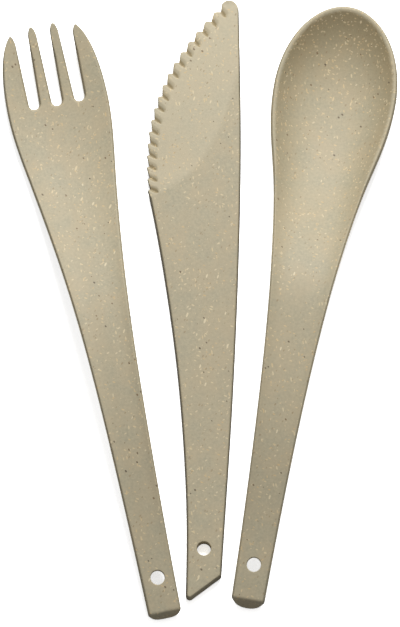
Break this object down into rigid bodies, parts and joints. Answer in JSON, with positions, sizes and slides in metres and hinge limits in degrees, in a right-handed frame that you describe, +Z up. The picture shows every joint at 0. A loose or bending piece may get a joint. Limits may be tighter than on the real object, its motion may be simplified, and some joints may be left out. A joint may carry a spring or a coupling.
{
  "type": "plastic cutlery set",
  "caption": "Reusable one-piece moulded fork, serrated knife and spoon of straw-filled plastic, lying face up side by side, each with a hanging hole.",
  "frame": {"origin": "middle of the set's outline, on the table that the three pieces lie on", "axes": "+X to the right with the fork on the left and the spoon on the right, +Y from the handles to the heads, +Z up"},
  "size_m": [0.1454, 0.2348, 0.022],
  "materials": {
    "straw_plastic_fork": "matt moulded plastic filled with straw flakes, slightly satin",
    "straw_plastic_knife": "matt moulded plastic filled with straw flakes, slightly satin",
    "straw_plastic_spoon": "matt moulded plastic filled with straw flakes, slightly satin"
  },
  "bodies": {
    "root": {"fork": "straw_plastic_fork", "knife": "straw_plastic_knife", "spoon": "straw_plastic_spoon"}
  },
  "joints": []
}
